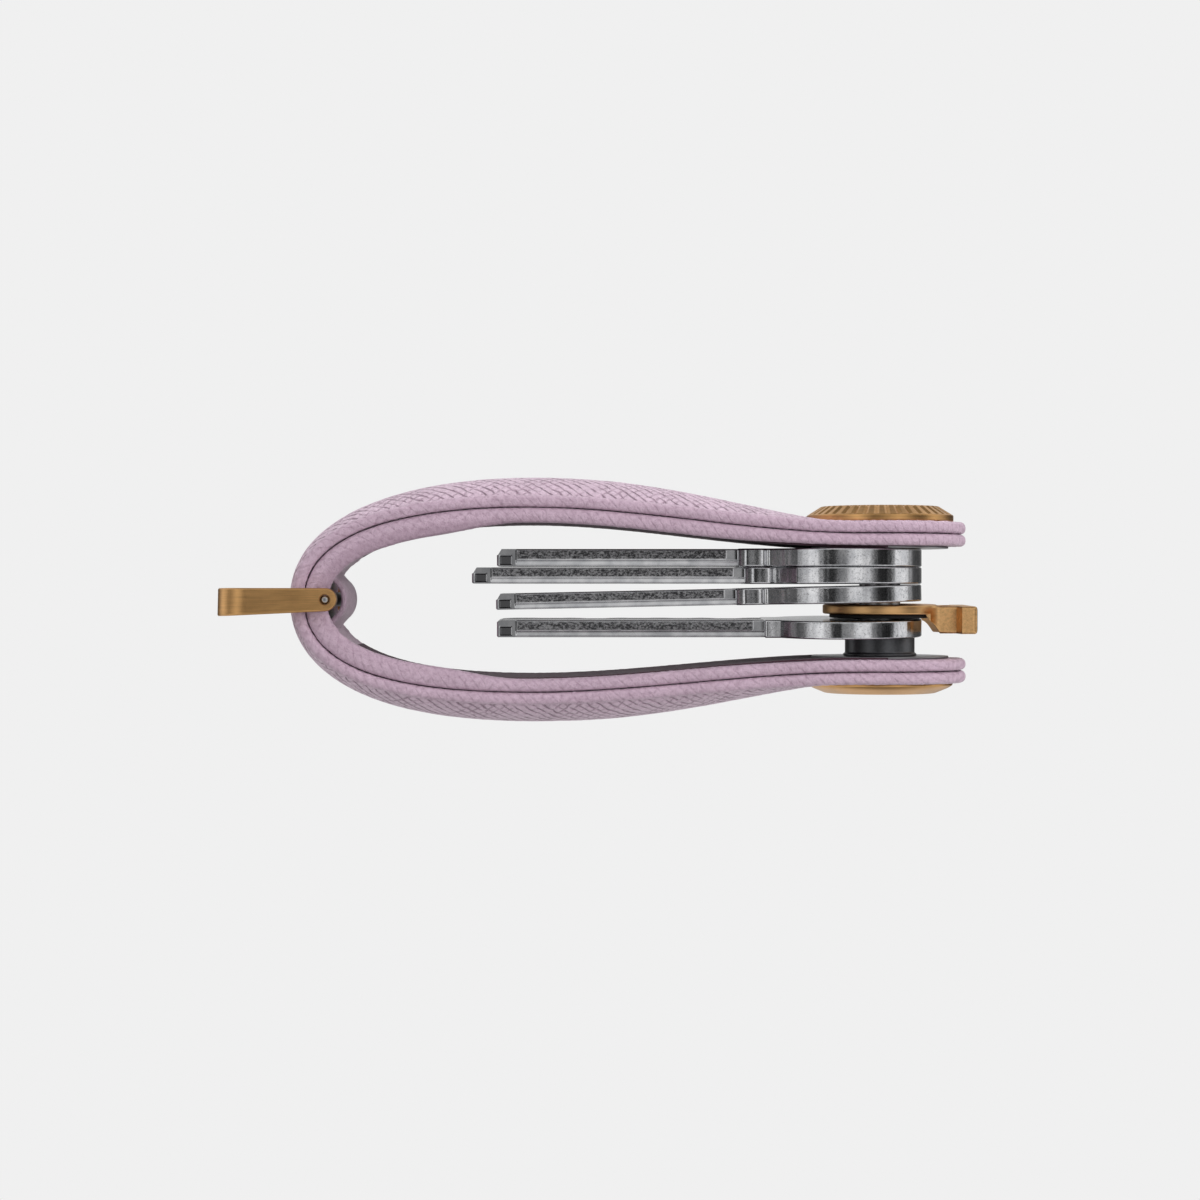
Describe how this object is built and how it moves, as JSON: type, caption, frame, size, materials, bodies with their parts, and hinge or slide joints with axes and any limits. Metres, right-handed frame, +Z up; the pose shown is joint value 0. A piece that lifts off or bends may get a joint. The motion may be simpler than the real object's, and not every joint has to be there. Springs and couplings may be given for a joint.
{
  "type": "key organiser",
  "caption": "Padded leather strap bent into a loop and clamped by a fluted screw and post that carry swinging keys and a fob tab, with a D-shaped shackle at the closed end.",
  "frame": {"origin": "bottom centre of the whole object's box at rest", "axes": "+Z up along the clamping post, +X from the shackle towards the post and fob tab, +Y across the strap"},
  "size_m": [0.0874, 0.0234, 0.0285],
  "materials": {
    "strap_leather": "lilac leather embossed with a fine cross-hatched grain",
    "lining_suede": "dark plum suede-like lining",
    "pad_foam": "soft felt padding, hidden",
    "spring_steel": "plain spring strip, hidden",
    "brass": "brushed satin brass",
    "key_steel": "milled nickel-plated key blank, bright with rough dark edges",
    "plate_steel": "grey satin plate",
    "post_steel": "turned steel",
    "spacer_grey": "dark grey satin",
    "washer_rubber": "matt black"
  },
  "bodies": {
    "lower_strap": {"outer_leather_lower": "strap_leather", "inner_leather_lower": "strap_leather", "stiffener_lower": "spring_steel", "pad_lower": "pad_foam", "lining_lower": "lining_suede", "pin_keeper": "strap_leather", "pin_sleeve": "spacer_grey", "post": "post_steel", "lower_cap": "brass", "lower_plate": "plate_steel", "lower_eyelet": "plate_steel", "spacer": "spacer_grey"},
    "upper_strap": {"outer_leather_upper": "strap_leather", "inner_leather_upper": "strap_leather", "stiffener_upper": "spring_steel", "pad_upper": "pad_foam", "lining_upper": "lining_suede", "upper_plate": "plate_steel", "upper_eyelet": "plate_steel"},
    "screw": {"knob": "brass", "screw_shaft": "post_steel"},
    "key_1": {"key_1": "key_steel"},
    "key_2": {"key_2": "key_steel"},
    "key_3": {"key_3": "key_steel"},
    "key_4": {"key_4": "key_steel"},
    "tab": {"fob_tab": "brass", "friction_washer": "washer_rubber"},
    "shackle": {"shackle": "brass", "shackle_pin": "post_steel"}
  },
  "joints": [
    {"name": "screw_turn", "type": "hinge", "parent": "upper_strap", "child": "screw", "pos_m": [0.03293, 0, 0.0235], "axis": [0, 0, 1], "range_deg": [0, 1800]},
    {"name": "strap_open", "type": "hinge", "parent": "lower_strap", "child": "upper_strap", "pos_m": [-0.036, 0, 0.01425], "axis": [0, -1, 0], "range_deg": [0, 4.15]},
    {"name": "key_1_swing", "type": "hinge", "parent": "lower_strap", "child": "key_1", "pos_m": [0.03293, 0, 0.019], "axis": [0, 0, 1], "continuous": true},
    {"name": "key_2_swing", "type": "hinge", "parent": "lower_strap", "child": "key_2", "pos_m": [0.03293, 0, 0.017], "axis": [0, 0, 1], "continuous": true},
    {"name": "key_3_swing", "type": "hinge", "parent": "lower_strap", "child": "key_3", "pos_m": [0.03293, 0, 0.01385], "axis": [0, 0, 1], "continuous": true},
    {"name": "key_4_swing", "type": "hinge", "parent": "lower_strap", "child": "key_4", "pos_m": [0.03293, 0, 0.00995], "axis": [0, 0, 1], "continuous": true},
    {"name": "tab_swing", "type": "hinge", "parent": "lower_strap", "child": "tab", "pos_m": [0.03293, 0, 0.01254], "axis": [0, 0, 1], "continuous": true},
    {"name": "shackle_swing", "type": "hinge", "parent": "lower_strap", "child": "shackle", "pos_m": [-0.03112, 0, 0.01425], "axis": [0, 1, 0], "range_deg": [-80, 80]}
  ],
  "couplings": [
    {"joint": "strap_open", "follows": "screw_turn", "ratio": 0.002305},
    {"joint": "tab_swing", "follows": "key_4_swing", "ratio": 1}
  ]
}
